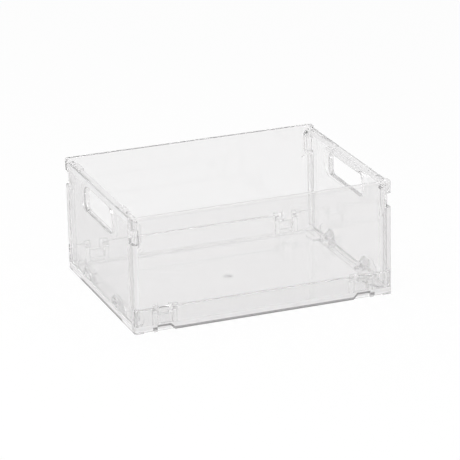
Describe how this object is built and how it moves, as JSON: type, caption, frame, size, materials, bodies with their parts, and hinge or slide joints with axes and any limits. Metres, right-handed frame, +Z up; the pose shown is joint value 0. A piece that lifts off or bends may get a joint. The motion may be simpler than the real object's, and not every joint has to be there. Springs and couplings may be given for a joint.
{
  "type": "collapsible storage box",
  "caption": "Clear plastic folding crate: a low tray, long walls on high hinges and end walls on low hinges, each end with a handle hole.",
  "frame": {"origin": "centre of the bounding box's bottom face, on the surface the box stands on", "axes": "+X along the length towards the right end, +Y along the depth towards the back, +Z up"},
  "size_m": [0.205, 0.155, 0.09],
  "materials": {
    "clear_plastic": "clear, polished, slightly rounded edges"
  },
  "bodies": {
    "tray": {"base_tray": "clear_plastic"},
    "front_wall": {"front_panel": "clear_plastic"},
    "back_wall": {"back_panel": "clear_plastic"},
    "left_end": {"left_end_panel": "clear_plastic"},
    "right_end": {"right_end_panel": "clear_plastic"}
  },
  "joints": [
    {"name": "left_end_fold", "type": "hinge", "parent": "tray", "child": "left_end", "pos_m": [-0.0978, 0, 0.0074], "axis": [0, 1, 0], "range_deg": [0, 90]},
    {"name": "right_end_fold", "type": "hinge", "parent": "tray", "child": "right_end", "pos_m": [0.0978, 0, 0.0074], "axis": [0, -1, 0], "range_deg": [0, 90]},
    {"name": "front_wall_spread", "type": "hinge", "parent": "tray", "child": "front_wall", "pos_m": [0, -0.0746, 0.0158], "axis": [1, 0, 0], "range_deg": [0, 5]},
    {"name": "back_wall_spread", "type": "hinge", "parent": "tray", "child": "back_wall", "pos_m": [0, 0.0746, 0.0158], "axis": [-1, 0, 0], "range_deg": [0, 5]}
  ]
}
